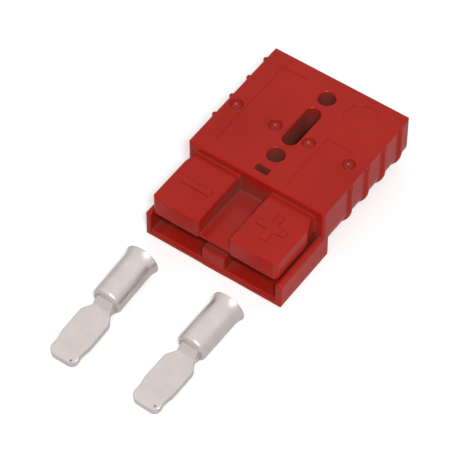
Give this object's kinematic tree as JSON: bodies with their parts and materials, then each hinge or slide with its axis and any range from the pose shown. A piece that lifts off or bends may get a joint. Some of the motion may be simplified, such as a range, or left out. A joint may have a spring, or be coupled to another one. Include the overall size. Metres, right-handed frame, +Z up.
{
  "type": "genderless power connector",
  "caption": "Flat two-pole genderless power connector housing with hollow sprung tongues over a lower tray, and loose crimp contacts laid out before it.",
  "frame": {"origin": "on the resting plane, in the middle of the width, under the front shoulder where the body meets the tray and tongues", "axes": "+X across the poles, +Y from the mating front towards the cable end, +Z up"},
  "size_m": [0.058, 0.1373, 0.0252],
  "materials": {
    "housing_plastic": "moulded, satin gloss",
    "spring_steel": "bright rolled strip",
    "tin_plate": "matt tin plate"
  },
  "bodies": {
    "root": {"housing": "housing_plastic", "left_leaf_spring": "spring_steel", "right_leaf_spring": "spring_steel", "left_contact": "tin_plate", "right_contact": "tin_plate"}
  },
  "joints": []
}
